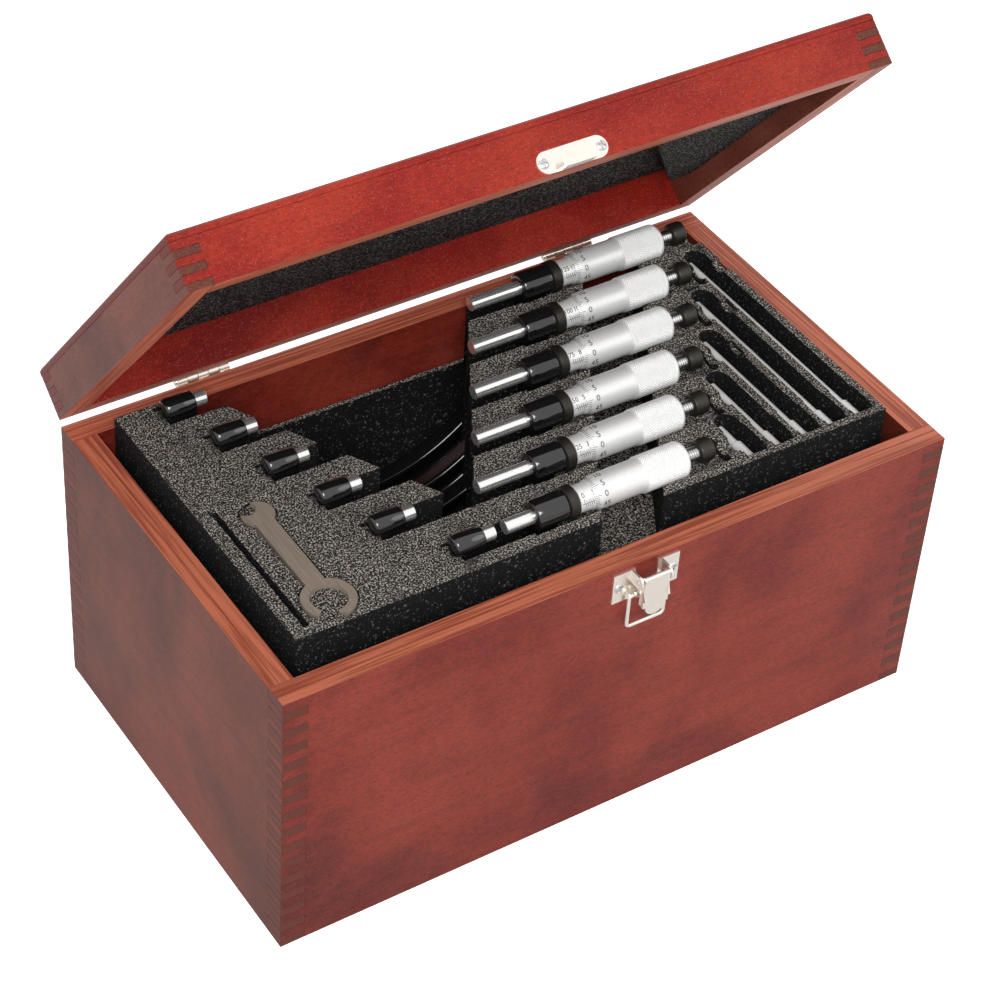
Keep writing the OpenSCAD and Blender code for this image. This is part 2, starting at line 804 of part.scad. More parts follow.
front_panel();
back_panel();
end_panels();
bottom_panel();
lid_front_rail();
lid_back_rail();
lid_end_rails();
lid_top_panel();
case_foam();
lid_foam();
hinge_case_leaves();
hinge_lid_leaves();
latch_base();
latch_lever();
latch_bail();
latch_keeper();
case_screws();
lid_screws();
wrench();
for (n = [1 : 5]) standard(n);
for (n = [1 : 6]) {
  frame(n);
  sleeve(n);
  lock_ring(n);
  spindle(n);
  thimble(n);
  ratchet(n);
}
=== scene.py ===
import json
import math

import bmesh
import bpy
import numpy as np
from mathutils import Matrix, Vector


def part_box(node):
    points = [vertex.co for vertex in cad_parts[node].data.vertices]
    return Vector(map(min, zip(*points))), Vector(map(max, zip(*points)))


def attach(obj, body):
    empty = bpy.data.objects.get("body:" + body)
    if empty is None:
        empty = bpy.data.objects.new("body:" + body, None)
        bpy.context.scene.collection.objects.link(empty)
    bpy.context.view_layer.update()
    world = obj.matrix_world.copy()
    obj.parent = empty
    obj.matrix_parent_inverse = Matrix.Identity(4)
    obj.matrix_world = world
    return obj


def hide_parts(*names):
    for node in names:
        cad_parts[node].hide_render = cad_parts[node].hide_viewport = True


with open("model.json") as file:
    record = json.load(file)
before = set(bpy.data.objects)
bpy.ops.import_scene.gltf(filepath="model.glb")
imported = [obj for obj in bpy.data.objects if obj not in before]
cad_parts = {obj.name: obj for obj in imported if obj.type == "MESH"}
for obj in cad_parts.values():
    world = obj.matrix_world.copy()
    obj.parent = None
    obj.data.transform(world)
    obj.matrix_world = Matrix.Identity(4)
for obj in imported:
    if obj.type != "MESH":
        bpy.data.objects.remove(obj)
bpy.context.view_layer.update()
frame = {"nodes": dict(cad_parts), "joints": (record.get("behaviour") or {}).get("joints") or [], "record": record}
nodes = frame["nodes"]
joints = {joint["name"]: joint for joint in frame["joints"]}
bodyOf = {
    name: body
    for body, members in frame["record"]["behaviour"]["bodies"].items()
    for name in members
}
mm = 0.001
scene = bpy.context.scene

# The lid is drawn open in the frame; these take a point between its shut and its open place
hinge = joints["lid_hinge"]
lidOpen = math.radians(-hinge["range_deg"][0])
hingeAt = Vector(hinge["pos_m"])
swingOpen = Matrix.Translation(hingeAt) @ Matrix.Rotation(-lidOpen, 4, "X") @ Matrix.Translation(-hingeAt)
swingShut = swingOpen.inverted()


def boxMm(name):
    # lowest and highest corner of a CAD node, in millimetres
    low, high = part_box(name)
    return np.array(low) / mm, np.array(high) / mm


rimZ = boxMm("front_panel")[1][2]
print("frame loaded, rim at", round(rimZ, 2), "mm")


# Materials

def makeMaterial(name):
    # an empty node tree with one shader on its output
    material = bpy.data.materials.new(name)
    material.use_nodes = True
    tree = material.node_tree
    tree.nodes.clear()
    output = tree.nodes.new("ShaderNodeOutputMaterial")
    shader = tree.nodes.new("ShaderNodeBsdfPrincipled")
    tree.links.new(shader.outputs["BSDF"], output.inputs["Surface"])
    return material, tree, shader


def addNode(tree, kind, inputs=None, **settings):
    # a node with its settings, whose inputs are sockets to link or plain values
    node = tree.nodes.new("ShaderNode" + kind)
    for key, value in settings.items():
        setattr(node, key, value)
    for key, value in (inputs or {}).items():
        if isinstance(value, bpy.types.NodeSocket):
            tree.links.new(value, node.inputs[key])
        else:
            node.inputs[key].default_value = value
    return node


def calc(tree, operation, first, second=0.0, clamp=False):
    # one sum, product or the like of two sockets or numbers
    node = addNode(tree, "Math", {0: first, 1: second}, operation=operation, use_clamp=clamp)
    return node.outputs[0]


def mixColors(tree, factor, first, second):
    # the first colour times one less the factor, and the second times the factor
    node = tree.nodes.new("ShaderNodeMix")
    node.data_type = "RGBA"
    for socket, value in ((node.inputs[0], factor), (node.inputs[6], first), (node.inputs[7], second)):
        if isinstance(value, bpy.types.NodeSocket):
            tree.links.new(value, socket)
        elif isinstance(value, tuple):
            socket.default_value = (*value, 1)
        else:
            socket.default_value = value
    return node.outputs[2]


def ramp(tree, factor, low, high):
    # 0 below low, 1 above high, smooth between
    node = addNode(
        tree, "MapRange", {0: factor, 1: low, 2: high, 3: 0.0, 4: 1.0}, interpolation_type="SMOOTHSTEP"
    )
    return node.outputs[0]


def noise(tree, vector, scale, detail=2.0, roughness=0.5, distortion=0.0):
    # smooth noise with so many cells a metre, and finer noise laid over it
    inputs = {"Vector": vector, "Scale": scale, "Detail": detail, "Roughness": roughness}
    return addNode(tree, "TexNoise", {**inputs, "Distortion": distortion}).outputs[0]


latticeTurn = (0.5, 0.7, 0.3)


def stretched(tree, vector, scale, move=(0.0, 0.0, 0.0)):
    # scaled along the object's axes, then turned, so that the noise's lattice lies along no face
    inputs = {"Vector": vector, "Scale": scale, "Location": move, "Rotation": latticeTurn}
    return addNode(tree, "Mapping", inputs).outputs[0]


def placeOn(tree, onLid):
    # the point and the normal in the shut case's frame, so that a pattern keeps level on the lid
    coordinate = tree.nodes.new("ShaderNodeTexCoord")
    point, normal = coordinate.outputs["Object"], coordinate.outputs["Normal"]
    if onLid:
        turn = (lidOpen, 0.0, 0.0)
        move = tuple(swingShut.to_translation())
        point = addNode(tree, "Mapping", {"Vector": point, "Location": move, "Rotation": turn}).outputs[0]
        normal = addNode(tree, "Mapping", {"Vector": normal, "Rotation": turn}).outputs[0]
    return point, normal


def addBump(tree, shader, height, strength, distance):
    # tilts the surface as a relief of that height would
    bump = addNode(tree, "Bump", {"Height": height, "Strength": strength, "Distance": distance})
    tree.links.new(bump.outputs["Normal"], shader.inputs["Normal"])


woodLook = {
    "dark": (0.045, 0.007, 0.005),
    "middle": (0.190, 0.016, 0.009),
    "light": (0.315, 0.042, 0.024),
    "endGrain": (0.100, 0.030, 0.020),
    "rim": (0.640, 0.190, 0.105),
    "rimDark": (0.330, 0.075, 0.042),
    "fleck": (0.62, 0.20, 0.15),
    "fleckShare": 0.20,
    "fleckSize": 1700.0,
    "roughness": 0.40,
}


def woodMaterial(name, along, onLid=False, look=woodLook):
    # stained wood: fine granular mottling over soft clouds and faint long grain, darker where the
    # grain ends, and bare straight grain on the edges of the rim
    material, tree, shader = makeMaterial(name)
    point, normal = placeOn(tree, onLid)

    def grainNoise(lengthwise, across, detail, move=0.0):
        # noise with so many cells a metre along the grain and across it
        scale = tuple(lengthwise if axis == along else across for axis in range(3))
        return noise(tree, stretched(tree, point, scale, (move, move, move)), 1.0, detail, 0.6)

    grain = grainNoise(420.0, 1150.0, 3.0)
    figure = grainNoise(14.0, 190.0, 3.0, 5.0)
    cloud = noise(tree, point, 15.0, 3.0, 0.55, 0.4)
    pores = grainNoise(260.0, 2300.0, 1.0, 9.0)
    color = mixColors(tree, ramp(tree, cloud, 0.34, 0.66), look["middle"], look["light"])
    stain = noise(tree, stretched(tree, point, (8.5, 8.5, 8.5), (4.0, 2.0, 6.0)), 1.0, 4.0, 0.6, 0.8)
    flecks = noise(tree, point, look["fleckSize"], 2.0, 0.7)
    layers = (
        (stain, 0.48, 0.70, 0.55, "dark"),
        (figure, 0.42, 0.72, 0.22, "dark"),
        (grain, 0.42, 0.64, 0.38, "dark"),
        (pores, 0.56, 0.70, 0.45, "light"),
        (flecks, 0.58, 0.68, look["fleckShare"], "fleck"),
    )
    for pattern, low, high, share, tint in layers:
        amount = calc(tree, "MULTIPLY", ramp(tree, pattern, low, high), share)
        color = mixColors(tree, amount, color, look[tint])
    parts = addNode(tree, "SeparateXYZ", {0: normal})
    end = ramp(tree, calc(tree, "ABSOLUTE", parts.outputs[along]), 0.6, 0.8)
    endPores = noise(tree, point, 1300.0, 2.0, 0.7)
    endColor = mixColors(tree, ramp(tree, endPores, 0.4, 0.65), look["endGrain"], look["middle"])
    color = mixColors(tree, end, color, endColor)
    height = addNode(tree, "SeparateXYZ", {0: point}).outputs[2]
    side = -1 if onLid else 1
    onRim = ramp(tree, parts.outputs[2], 0.6 * side, 0.8 * side)
    near = ramp(tree, height, rimZ * mm - 0.002 * side, rimZ * mm - 0.001 * side)
    lines = grainNoise(16.0, 800.0, 3.0, 2.0)
    rimColor = mixColors(tree, ramp(tree, lines, 0.40, 0.62), look["rim"], look["rimDark"])
    color = mixColors(tree, calc(tree, "MULTIPLY", onRim, near), color, rimColor)
    tree.links.new(color, shader.inputs["Base Color"])
    shader.inputs["Roughness"].default_value = look["roughness"]
    shader.inputs["Specular IOR Level"].default_value = 0.25
    shader.inputs["Coat Weight"].default_value = 0.04
    shader.inputs["Coat Roughness"].default_value = 0.3
    addBump(tree, shader, grain, 0.3, 0.0002)
    return material


foamLook = {
    "top": (0.013, 0.012, 0.011),
    "topSpeck": (0.700, 0.640, 0.570),
    # the near-black of faces that don't point up is partly the foam's own colour and partly painted shade
    "side": (0.004, 0.004, 0.004),
    "sideSpeck": (0.200, 0.195, 0.190),
    "fewFrom": 0.62,
    "cell": 1400.0,
    "fewCell": 850.0,
}


def foamMaterial(name, onLid=False, look=foamLook):
    # closed-cell foam: small cells as bumps, and pale specks where cells are cut, many on the case's
    # upward faces and few on every other face; the near-black of those other faces is partly the foam's
    # own colour and partly painted shade
    material, tree, shader = makeMaterial(name)
    point, normal = placeOn(tree, onLid)
    few = ramp(tree, noise(tree, point, look["fewCell"], 2.0, 0.7), look["fewFrom"], look["fewFrom"] + 0.06)
    color = mixColors(tree, few, look["side"], look["sideSpeck"])
    if not onLid:
        upright = addNode(tree, "SeparateXYZ", {0: normal}).outputs[2]
        speck = ramp(tree, noise(tree, point, look["cell"], 2.0, 0.7), 0.49, 0.65)
        patch = noise(tree, point, 60.0, 2.0, 0.5)
        speck = calc(tree, "MULTIPLY", speck, ramp(tree, patch, 0.05, 0.45))
        topColor = mixColors(tree, speck, look["top"], look["topSpeck"])
        # upward faces take the speckled top colour; the rest keep the near-black side colour, partly painted shade
        color = mixColors(tree, ramp(tree, upright, 0.4, 0.8), color, topColor)
    tree.links.new(color, shader.inputs["Base Color"])
    shader.inputs["Roughness"].default_value = 0.85
    shader.inputs["Specular IOR Level"].default_value = 0.25
    addBump(tree, shader, noise(tree, point, look["cell"] * 0.8, 3.0, 0.7), 0.8, 0.0006)
    return material


def metalMaterial(name, color, roughness, metallic=1.0, scratch=None, coat=0.0, spots=0.0, bump=0.1):
    # metal or enamel: fine noise, even, brushed along Y or in rings round X, in colour, gloss and bump
    material, tree, shader = makeMaterial(name)
    point = placeOn(tree, False)[0]
    scale = {
        None: (700.0, 700.0, 700.0),
        "y": (2500.0, 60.0, 2500.0),
        "turned": (2600.0, 90.0, 90.0),
    }[scratch]
    fine = noise(tree, stretched(tree, point, scale), 1.0, 2.0, 0.6)
    broad = noise(tree, point, 90.0, 3.0, 0.6)
    darker = tuple(channel * (0.86 - spots) for channel in color)
    tone = mixColors(tree, ramp(tree, fine, 0.35, 0.7), color, darker)
    tone = mixColors(tree, calc(tree, "MULTIPLY", ramp(tree, broad, 0.5, 0.75), 0.3 + spots), tone, darker)
    tree.links.new(tone, shader.inputs["Base Color"])
    span = addNode(tree, "MapRange", {0: fine, 1: 0.3, 2: 0.7, 3: roughness * 0.95, 4: roughness * 1.05})
    tree.links.new(span.outputs[0], shader.inputs["Roughness"])
    shader.inputs["Metallic"].default_value = metallic
    shader.inputs["Coat Weight"].default_value = coat
    addBump(tree, shader, fine, bump, 0.00005)
    return material


endLook = dict(
    woodLook, dark=(0.052, 0.012, 0.007), middle=(0.175, 0.028, 0.013), light=(0.270, 0.052, 0.026)
)
lidLook = dict(
    woodLook, dark=(0.100, 0.004, 0.003), middle=(0.300, 0.009, 0.005), light=(0.440, 0.035, 0.016),
    fleckShare=0.4,
)
lidEndLook = dict(
    woodLook, dark=(0.070, 0.018, 0.012), middle=(0.200, 0.050, 0.030), light=(0.290, 0.080, 0.050)
)
lidFoamLook = dict(foamLook, fewFrom=0.57, sideSpeck=(0.30, 0.29, 0.28))
woodX = woodMaterial("woodLengthwise", 0)
woodY = woodMaterial("woodCrosswise", 1, False, endLook)
lidWoodX = woodMaterial("lidWoodLengthwise", 0, True, lidLook)
lidWoodY = woodMaterial("lidWoodCrosswise", 1, True, lidEndLook)
foamGrey = foamMaterial("foamCharcoal")
lidFoamGrey = foamMaterial("lidFoamCharcoal", True, lidFoamLook)
nickel = metalMaterial("nickelPlate", (0.93, 0.88, 0.80), 0.26, metallic=0.85, spots=-0.12, bump=0.0)
screwSteel = metalMaterial("screwSteel", (0.70, 0.70, 0.70), 0.28)
wrenchSteel = metalMaterial("brownSteel", (0.46, 0.37, 0.30), 0.42, metallic=0.3, scratch="y", spots=0.1)
brightSteel = metalMaterial("groundSteel", (0.95, 0.95, 0.94), 0.20, metallic=0.85, spots=-0.14, bump=0.0)
enamel = metalMaterial("blackEnamel", (0.008, 0.008, 0.009), 0.10, metallic=0.0, coat=0.8, bump=0.0)
# these two have a near-white base and little metal share, so part of their brightness is a painted reflection of
# the white surroundings
satinChrome = metalMaterial("satinChrome", (0.95, 0.95, 0.94), 0.40, metallic=0.30, spots=-0.1, bump=0.02)
paleSteel = metalMaterial("paleSteel", (0.95, 0.94, 0.92), 0.35, metallic=0.10, spots=-0.1, bump=0.01)
blackSteel = metalMaterial("blackSteel", (0.040, 0.036, 0.030), 0.36, metallic=0.6)
neckSteel = metalMaterial("neckSteel", (0.60, 0.60, 0.60), 0.25, scratch="turned")
ink = metalMaterial("scaleInk", (0.012, 0.012, 0.014), 0.6, metallic=0.0)
print("materials made:", len(bpy.data.materials))


# Meshes

def linkPiece(name, mesh, material, body, replaced):
    # puts a finished mesh in the scene, on its body, with one material
    piece = bpy.data.objects.new(name, mesh)
    scene.collection.objects.link(piece)
    mesh.materials.clear()
    mesh.materials.append(material)
    mesh.polygons.foreach_set("material_index", np.zeros(len(mesh.polygons), np.int32))
    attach(piece, body)
    if replaced:
        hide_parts(*replaced)
    return piece


def smoothMesh(mesh, angle=35):
    # smooth shading, but for edges sharper than the angle
    mesh.polygons.foreach_set("use_smooth", np.ones(len(mesh.polygons), bool))
    mesh.set_sharp_from_angle(angle=math.radians(angle))


def cleanCopy(nodeName):
    # the node's triangles merged at their corners, with those of one plane joined
    shape = bmesh.new()
    shape.from_mesh(nodes[nodeName].data)
    bmesh.ops.remove_doubles(shape, verts=shape.verts, dist=2e-6)
    bmesh.ops.dissolve_limit(shape, angle_limit=math.radians(0.5), verts=shape.verts, edges=shape.edges)
    return shape


def softEdges(shape, width, shortest):
    # rounds each edge that turns by more than 35 degrees and is longer than the shortest
    sharp = [
        edge for edge in shape.edges
        if len(edge.link_faces) == 2
        and edge.calc_face_angle(0) > math.radians(35)
        and edge.calc_length() > shortest * mm
    ]
    bmesh.ops.bevel(
        shape, geom=sharp, offset=width * mm, offset_type="OFFSET", segments=2, profile=0.5,
        affect="EDGES", clamp_overlap=True,
    )


def softPiece(name, nodeName, material, width, shortest=1.5):
    # the CAD shape with softened edges; its large faces set the normals, so that they shade flat
    shape = cleanCopy(nodeName)
    softEdges(shape, width, shortest)
    mesh = bpy.data.meshes.new(name)
    shape.to_mesh(mesh)
    shape.free()
    smoothMesh(mesh)
    piece = linkPiece(name, mesh, material, bodyOf[nodeName], (nodeName,))
    weigh = piece.modifiers.new("flatFaces", "WEIGHTED_NORMAL")
    weigh.keep_sharp = True
    weigh.weight = 100


def gridFaces(rows, columns, wrapRows=False, wrapColumns=True):
    # quads between neighbours of a grid of points, as an array of four corner numbers each
    r = np.arange(rows if wrapRows else rows - 1)
    c = np.arange(columns if wrapColumns else columns - 1)
    r, c = (a.ravel() for a in np.meshgrid(r, c, indexing="ij"))
    rn, cn = (r + 1) % rows, (c + 1) % columns
    return np.stack([r * columns + c, r * columns + cn, rn * columns + cn, rn * columns + c], 1)


def meshFrom(name, points, faces):
    # a mesh from an array of points in millimetres and an array of quads
    mesh = bpy.data.meshes.new(name)
    mesh.from_pydata((points * mm).tolist(), [], faces.tolist())
    shape = bmesh.new()
    shape.from_mesh(mesh)
    bmesh.ops.remove_doubles(shape, verts=shape.verts, dist=2e-7)
    bmesh.ops.recalc_face_normals(shape, faces=shape.faces)
    shape.to_mesh(mesh)
    shape.free()
    return mesh


def turnedPoints(profile, centre, sides, ridge=None):
    # a profile of (along, radius) points carried round a line along X through centre;
    # ridge adds a height over the radius, from the place along and the angle
    profile = np.array(profile, float)
    angle = np.linspace(0, 2 * np.pi, sides, endpoint=False)
    along, radius = profile[:, :1], profile[:, 1:2] + np.zeros((1, sides))
    if ridge is not None:
        radius = radius + ridge(along, angle[None, :]) * (radius > 0)
    points = np.stack([
        centre[0] + along + 0 * radius,
        centre[1] + radius * np.cos(angle),
        centre[2] + radius * np.sin(angle),
    ], -1)
    return points.reshape(-1, 3)


def turned(name, profile, centre, sides=64, ridge=None, ring=False):
    # a turned mesh; a ring's profile runs round the bore back to its start
    points = turnedPoints(profile, centre, sides, ridge)
    return meshFrom(name, points, gridFaces(len(profile), sides, wrapRows=ring))


def standIn(piece, nodeName, mesh, material, sharp=40):
    # smooths a mesh and puts it in the node's place
    smoothMesh(mesh, sharp)
    return linkPiece(piece, mesh, material, bodyOf[nodeName], (nodeName,))


def turnedBox(nodeName):
    # of a node turned about X: the middle of its left face, its length and its largest radius
    low, high = boxMm(nodeName)
    centre = (low[0], (low[1] + high[1]) / 2, (low[2] + high[2]) / 2)
    return centre, high[0] - low[0], (high[1] - low[1]) / 2


def joinPieces(name, meshes):
    # several closed meshes as one
    shape = bmesh.new()
    for mesh in meshes:
        shape.from_mesh(mesh)
    joined = bpy.data.meshes.new(name)
    shape.to_mesh(joined)
    shape.free()
    return joined


# Wooden parts
woodEdge = {"case": 0.25, "lid": 0.3}
for nodeName, material in (("front_panel", woodX), ("back_panel", woodX), ("end_panels", woodY)):
    softPiece("wood_" + nodeName, nodeName, material, woodEdge["case"])
for nodeName, material in (
    ("lid_front_rail", lidWoodX), ("lid_back_rail", lidWoodX), ("lid_end_rails", lidWoodY)
):
    softPiece("wood_" + nodeName, nodeName, material, woodEdge["lid"])
softPiece("wood_lid_top", "lid_top_panel", lidWoodX, woodEdge["case"], 5.0)
softPiece("wood_bottom", "bottom_panel", woodX, woodEdge["case"])
print("wood made")


# Foam: the node's shape with soft edges, cut into small squares and then roughened
foamRough = {"edge": 0.5, "shortest": 1.2, "square": 3.0, "depth": 0.22, "wave": 0.35, "cutDepth": 40.0}


def waves(points, size, seed):
    # a sum of sines in fixed directions, which stands for smooth noise of about that size
    order = np.random.default_rng(seed)
    total = np.zeros(len(points))
    for octave in range(5):
        direction = order.normal(size=(3, 3))
        phase = order.uniform(0, 2 * np.pi, 3)
        turn = points @ direction.T * (2 * np.pi / size) * (0.7 + 0.45 * octave) + phase
        total += np.sin(turn).prod(1)
    return total / 2.2


def roughFoam(name, nodeName, material, look=foamRough):
    # each point goes inwards by half the depth times one plus the waves, which stay between -1 and 1
    shape = cleanCopy(nodeName)
    softEdges(shape, look["edge"], look["shortest"])
    low, high = boxMm(nodeName)
    for axis in range(3):
        normal = [0, 0, 0]
        normal[axis] = 1
        start = low[axis] if axis != 2 else max(low[axis], high[axis] - look["cutDepth"])
        for place in np.arange(start + look["square"], high[axis] - 0.6, look["square"]):
            bmesh.ops.bisect_plane(
                shape, geom=shape.verts[:] + shape.edges[:] + shape.faces[:], dist=1e-7,
                plane_co=[place * mm * n for n in normal], plane_no=normal,
            )
    bmesh.ops.triangulate(shape, faces=[face for face in shape.faces if len(face.verts) > 4])
    mesh = bpy.data.meshes.new(name)
    shape.to_mesh(mesh)
    shape.free()
    count = len(mesh.vertices)
    points = np.empty(count * 3)
    normals = np.empty(count * 3)
    mesh.vertices.foreach_get("co", points)
    mesh.vertex_normals.foreach_get("vector", normals)
    points, normals = points.reshape(-1, 3), normals.reshape(-1, 3)
    depth = waves(points / mm, 7.0, 4) * look["wave"] + waves(points / mm, 2.3, 9) * 0.5
    points = points - normals * (np.clip(depth, -1, 1)[:, None] + 1) * 0.5 * look["depth"] * mm
    mesh.vertices.foreach_set("co", points.ravel())
    standIn(name, nodeName, mesh, material, 50)
    print(name, "has", len(mesh.polygons), "faces")


roughFoam("foam_insert", "case_foam", foamGrey)
roughFoam("foam_lining", "lid_foam", lidFoamGrey)


# Hardware: sheet metal with softened edges
for nodeName in ("hinge_case_leaves", "hinge_lid_leaves", "latch_base", "latch_lever", "latch_keeper"):
    softPiece("metal_" + nodeName, nodeName, nickel, 0.22, 0.9)
softPiece("bare_wrench", "wrench", wrenchSteel, 0.25, 0.9)


def wirePath(corners, radius, steps=8):
    # a path with each inner corner swapped for an arc that touches both of its straight stretches
    corners = [np.array(corner, float) for corner in corners]
    path = [corners[0]]
    for before, corner, after in zip(corners, corners[1:], corners[2:]):
        inward = (before - corner) / np.linalg.norm(before - corner)
        outward = (after - corner) / np.linalg.norm(after - corner)
        middle = corner + (inward + outward) * radius
        for angle in np.linspace(0, np.pi / 2, steps):
            path.append(middle - outward * radius * np.cos(angle) - inward * radius * np.sin(angle))
    path.append(corners[-1])
    return np.array(path)


def flatWire(name, path, level, radius, sides=20):
    # a round wire along a path in the upright plane at y = level, closed at both ends
    forward = np.gradient(path, axis=0)
    forward /= np.linalg.norm(forward, axis=1)[:, None]
    across = np.stack([-forward[:, 1], forward[:, 0]], 1)
    angle = np.linspace(0, 2 * np.pi, sides, endpoint=False)
    rows = []
    for share, index in [(0, 0)] + [(1, i) for i in range(len(path))] + [(0, len(path) - 1)]:
        out = radius * share * np.cos(angle)
        rows.append(np.stack([
            path[index, 0] + across[index, 0] * out,
            level + radius * share * np.sin(angle),
            path[index, 1] + across[index, 1] * out,
        ], -1))
    points = np.array(rows)
    return meshFrom(name, points.reshape(-1, 3), gridFaces(len(points), sides))


bailLook = {"corner": 1.9, "top": 0.95, "stub": 4.5}  # two bends' radii, and half the gap in the wire


def makeBail():
    # one bent wire: two short ends along the lever's pin, two arms down and the bar between them
    low, high = boxMm("latch_bail")
    radius = (high[1] - low[1]) / 2
    middle, half = (low[0] + high[0]) / 2, (high[0] - low[0]) / 2 - radius
    top, bottom = high[2] - radius, low[2] + radius
    halves = []
    for side in (-1, 1):
        corners = [(middle + side * bailLook["stub"], top), (middle + side * half, top),
                   (middle + side * half, (top + bottom) / 2)]
        halves.append(wirePath(corners, bailLook["top"]))
    corners = [halves[0][-1], (middle - half, bottom), (middle + half, bottom), halves[1][-1]]
    lower = wirePath(corners, bailLook["corner"])
    path = np.concatenate([halves[0][:-1], lower[1:-1], halves[1][::-1][1:]])
    mesh = flatWire("bail_wire", path, (low[1] + high[1]) / 2, radius)
    standIn("bail_wire", "latch_bail", mesh, nickel, 50)


makeBail()


standardLook = {"collar": 13.0, "rod": 2.0, "chamfer": 0.5}


def makeStandard(n):
    # a rod along Y whose front end is thicker
    name = f"standard_{n}"
    low, high = boxMm(name)
    length, collarR = high[1] - low[1], (high[0] - low[0]) / 2
    chamfer, collar, rod = standardLook["chamfer"], standardLook["collar"], standardLook["rod"]
    profile = [(0, 0), (0, collarR - chamfer), (chamfer, collarR), (collar - chamfer, collarR)]
    profile += [(collar, collarR - chamfer), (collar, rod)]
    profile += [(length - chamfer, rod), (length, rod - chamfer), (length, 0)]
    centre = (low[1], (low[0] + high[0]) / 2, (low[2] + high[2]) / 2)
    points = turnedPoints(profile, centre, 48)[:, [1, 0, 2]]
    standIn(f"ground_rod_{n}", name, meshFrom(name, points, gridFaces(len(profile), 48)), paleSteel)


for n in range(1, 6):
    makeStandard(n)


# Screws: a low dome with a cross let into it, over a plain shank
screwLook = {
    "radius": 2.2,
    "thick": 0.35,
    "long": 8.0,
    "shank": 1.2,
    "plate": 1.0,
    "dome": 0.55,
    "cross": 0.62,
    "crossLong": 1.55,
    "deep": 0.7,
    "rings": 26,
    "sides": 48,
}


def screwHead():
    # height over a disc is a dome less the cross, which has soft walls; the rim runs down to the plate
    look = screwLook
    radius, thick, length, shank = (look[key] for key in ("radius", "thick", "long", "shank"))
    r = np.linspace(0, radius, look["rings"])[:, None]
    angle = np.linspace(0, 2 * np.pi, look["sides"], endpoint=False)[None, :]
    x, z = r * np.cos(angle), r * np.sin(angle)
    dome = thick + look["dome"] * (1 - (r / radius) ** 2) - 0.25 * (r / radius) ** 8

    def bar(across, along):
        # 1 inside one bar of the cross and 0 outside it
        wide = np.clip((look["cross"] / 2 - abs(across)) / 0.12 + 0.5, 0, 1)
        long = np.clip((look["crossLong"] - abs(along)) / 0.25 + 0.5, 0, 1)
        return wide * long

    height = dome - look["deep"] * np.maximum(bar(x, z), bar(z, x))
    top = np.stack([x, height, z], -1)
    edge = []
    for ringRadius, level in ((radius, 0.0), (shank, 0.0), (shank, -length), (0.0, -length)):
        x, z = ringRadius * np.cos(angle[0]), ringRadius * np.sin(angle[0])
        edge.append(np.stack([x, level + 0 * angle[0], z], -1))
    points = np.concatenate([top, np.array(edge)])
    rows = len(points)
    return points.reshape(-1, 3), gridFaces(rows, look["sides"])


def islands(nodeName):
    # the boxes of a node's separate solids, in millimetres
    shape = bmesh.new()
    shape.from_mesh(nodes[nodeName].data)
    bmesh.ops.remove_doubles(shape, verts=shape.verts, dist=2e-6)
    left, found = set(shape.verts), []
    while left:
        queue, group = [left.pop()], []
        while queue:
            vert = queue.pop()
            group.append(np.array(vert.co) / mm)
            for edge in vert.link_edges:
                other = edge.other_vert(vert)
                if other in left:
                    left.remove(other)
                    queue.append(other)
        group = np.array(group)
        found.append((group.min(0), group.max(0)))
    shape.free()
    return sorted(found, key=lambda box: tuple(box[0].round(2)))


def makeScrews(name, nodeName, onLid):
    # each screw stands where the node's solid lies, with its head facing out of the wood
    meshes = []
    turn = np.array(swingShut.to_3x3())
    points, faces = screwHead()
    face = abs(boxMm("front_panel")[0][1]) + screwLook["plate"]
    for number, (low, high) in enumerate(islands(nodeName)):
        centre = (low + high) / 2
        if onLid:
            centre = np.array(swingShut @ Vector(centre * mm)) / mm
        out = -1.0 if centre[1] < 0 else 1.0
        spin = 0.5 + 1.3 * number  # no two crosses stand alike
        x = points[:, 0] * math.cos(spin) - points[:, 2] * math.sin(spin)
        z = points[:, 0] * math.sin(spin) + points[:, 2] * math.cos(spin)
        placed = np.stack([centre[0] + x, out * (face + points[:, 1]), centre[2] + z], -1)
        if onLid:
            placed = placed @ turn + np.array(swingOpen.to_translation()) / mm
        meshes.append(meshFrom(name, placed, faces))
    standIn(name, nodeName, joinPieces(name, meshes), screwSteel)


makeScrews("screws_of_case", "case_screws", False)
makeScrews("screws_of_lid", "lid_screws", True)


# Micrometers: turned parts with true knurls, and scales as thin raised ink
thimbleLook = {
    "teeth": 40,
    "knurl": 0.25,
    "plain": 24.5,
    "plainBelow": 0.5,
    "bevel": 6.3,
    "bevelLong": 3.0,
    "bore": 6.06,
    "hole": 2.56,
    "holeLong": 4.0,
}
ringLook = {"teeth": 40, "knurl": 0.12, "bore": 5.06, "edge": 0.7}
ratchetLook = {"teeth": 34, "knurl": 0.14, "knob": 7.5, "stub": 4.3, "pin": 1.6, "neck": 3.2, "groove": 0.3}
scaleLook = {
    "lineAngle": 16.0,
    "inkHeight": 0.03,
    "sunk": 0.008,
    "tick": 0.18,
    "digit": 2.1,
    "thimbleDigit": 2.6,
    "divisions": 50,
    "shown": 48.0,
    "openAtRest": 5.0,
    "range": 25,
}


def diamondKnurl(teeth, radius, start, end, height):
    # two sets of crossing ridges; each is a triangle wave of the angle plus or minus the place along
    def ridge(along, angle):
        # the lower of the two waves, faded out at both ends
        pitch = 2 * np.pi * radius / teeth
        turns = angle * teeth / (2 * np.pi)
        first = abs((turns + along / pitch) % 1 * 2 - 1)
        second = abs((turns - along / pitch) % 1 * 2 - 1)
        fade = np.clip((along - start) / 0.4, 0, 1) * np.clip((end - along) / 0.4, 0, 1)
        return height * (np.minimum(first, second) * 2 - 1) * fade
    return ridge


def rowsBetween(start, end, step, radius):
    # even points of one radius, about a step apart
    count = max(2, int(round((end - start) / step)) + 1)
    return [(place, radius) for place in np.linspace(start, end, count)]


